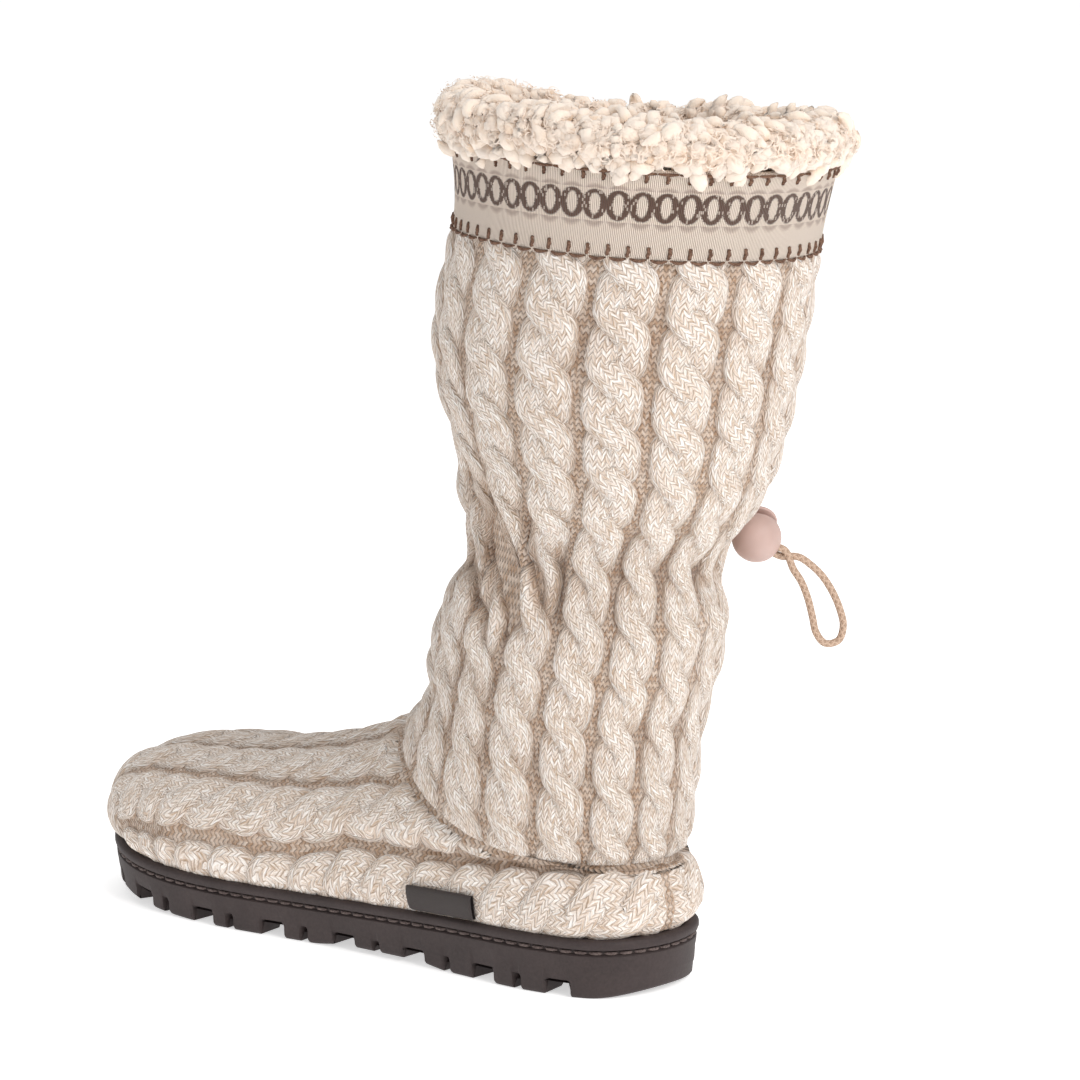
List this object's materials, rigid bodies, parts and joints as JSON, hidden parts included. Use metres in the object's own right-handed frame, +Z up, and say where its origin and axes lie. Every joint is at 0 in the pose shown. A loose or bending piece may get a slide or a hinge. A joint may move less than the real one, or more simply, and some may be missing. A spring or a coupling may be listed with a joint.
{
  "type": "slipper boot",
  "caption": "Tall knitted slipper boot with a curly fleece rim, a patterned woven band, a moulded rubber sole, and a drawcord with a sprung toggle behind the ankle",
  "frame": {"origin": "on the floor, under the middle of the heel", "axes": "+X to the toe, +Y to the outer side, +Z up"},
  "size_m": [0.326, 0.1371, 0.3161],
  "materials": {
    "sole_rubber": "matte moulded rubber",
    "footbed": "short fleece pile",
    "knit": "heathered cable knit",
    "ribbon": "ribbed ribbon with a woven pattern",
    "fleece": "curly pile",
    "tab": "plain woven tape",
    "cord": "braided elastic",
    "toggle": "satin moulded plastic"
  },
  "bodies": {
    "boot": {"outsole": "sole_rubber", "insole": "footbed", "knit_foot": "knit", "knit_shaft": "knit", "woven_band": "ribbon", "fleece_collar": "fleece", "side_tab": "tab", "drawcord": "cord", "cord_lock_body": "toggle"},
    "plunger": {"cord_lock_plunger": "toggle"}
  },
  "joints": [
    {"name": "plunger_press", "type": "slide", "parent": "boot", "child": "plunger", "axis": [-0.4494, 0.6856, -0.5727], "range_m": [0, 0.003], "stiffness_N_per_m": 150, "springref_m": -0.004}
  ]
}
